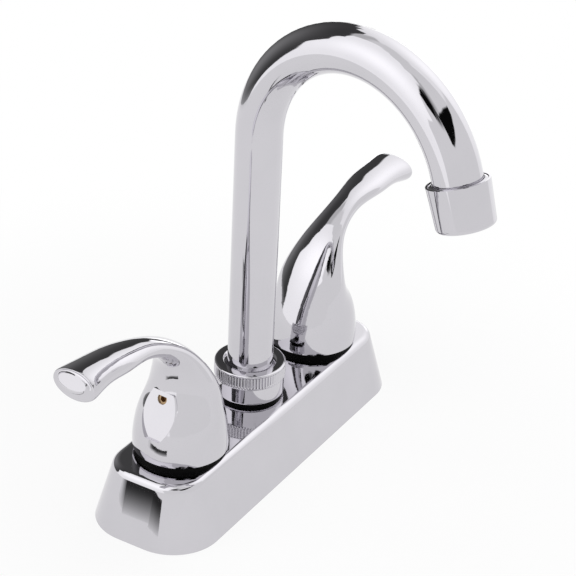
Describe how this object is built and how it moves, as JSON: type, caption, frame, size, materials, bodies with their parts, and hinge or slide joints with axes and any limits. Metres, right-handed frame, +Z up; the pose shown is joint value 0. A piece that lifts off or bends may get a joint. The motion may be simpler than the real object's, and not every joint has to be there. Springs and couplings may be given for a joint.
{
  "type": "basin mixer tap",
  "caption": "Two-handle centreset basin mixer with a drafted rectangular base, swan-neck lever handles and a high-arc swivel spout with aerator, polished chrome.",
  "frame": {"origin": "centre of the underside of the base, where it sits on the sink deck", "axes": "+Z up along the riser of the spout, +X along the base from the hot side to the cold side, -Y to the front, where the spout reaches over the basin"},
  "size_m": [0.2292, 0.1346, 0.2474],
  "materials": {
    "polished_chrome": "mirror polished plating on brass or zinc",
    "cast_brass": "machined, slightly satin",
    "screw_brass": "small machined screw",
    "ceramic": "lapped ceramic",
    "washer_steel": "plain steel",
    "white_plastic": "moulded",
    "black_plastic": "moulded, satin",
    "black_rubber": "matt"
  },
  "bodies": {
    "body": {"base_cover": "polished_chrome", "base_gasket": "black_rubber", "cold_bonnet_nut": "cast_brass", "cold_cartridge_body": "cast_brass", "cold_fixed_disc": "ceramic", "cold_handle_ring": "black_plastic", "cold_inlet_shank": "cast_brass", "cold_lock_nut": "cast_brass", "cold_lock_washer": "washer_steel", "cold_seat_seal": "black_rubber", "hot_bonnet_nut": "cast_brass", "hot_cartridge_body": "cast_brass", "hot_fixed_disc": "ceramic", "hot_handle_ring": "black_plastic", "hot_inlet_shank": "cast_brass", "hot_lock_nut": "cast_brass", "hot_lock_washer": "washer_steel", "hot_seat_seal": "black_rubber", "nut_ring": "black_plastic", "spout_nut": "polished_chrome", "waterway_body": "cast_brass"},
    "spout": {"aerator_insert": "white_plastic", "aerator_screen": "washer_steel", "aerator_shell": "polished_chrome", "aerator_washer": "black_rubber", "spout_o_ring_lower": "black_rubber", "spout_o_ring_upper": "black_rubber", "spout_slip_washer": "white_plastic", "spout_spigot": "cast_brass", "spout_tube": "polished_chrome"},
    "hot_lever": {"hot_handle": "polished_chrome", "hot_moving_disc": "ceramic", "hot_set_screw": "screw_brass", "hot_stem": "cast_brass", "hot_stem_o_ring": "black_rubber"},
    "cold_lever": {"cold_handle": "polished_chrome", "cold_moving_disc": "ceramic", "cold_set_screw": "screw_brass", "cold_stem": "cast_brass", "cold_stem_o_ring": "black_rubber"}
  },
  "joints": [
    {"name": "spout_swivel", "type": "hinge", "parent": "body", "child": "spout", "pos_m": [0, 0, 0.037], "axis": [0, 0, 1], "continuous": true},
    {"name": "hot_handle_turn", "type": "hinge", "parent": "body", "child": "hot_lever", "pos_m": [-0.0508, 0, 0.0284], "axis": [0, 0, 1], "range_deg": [0, 90]},
    {"name": "cold_handle_turn", "type": "hinge", "parent": "body", "child": "cold_lever", "pos_m": [0.0508, 0, 0.0284], "axis": [0, 0, 1], "range_deg": [-90, 0]}
  ]
}
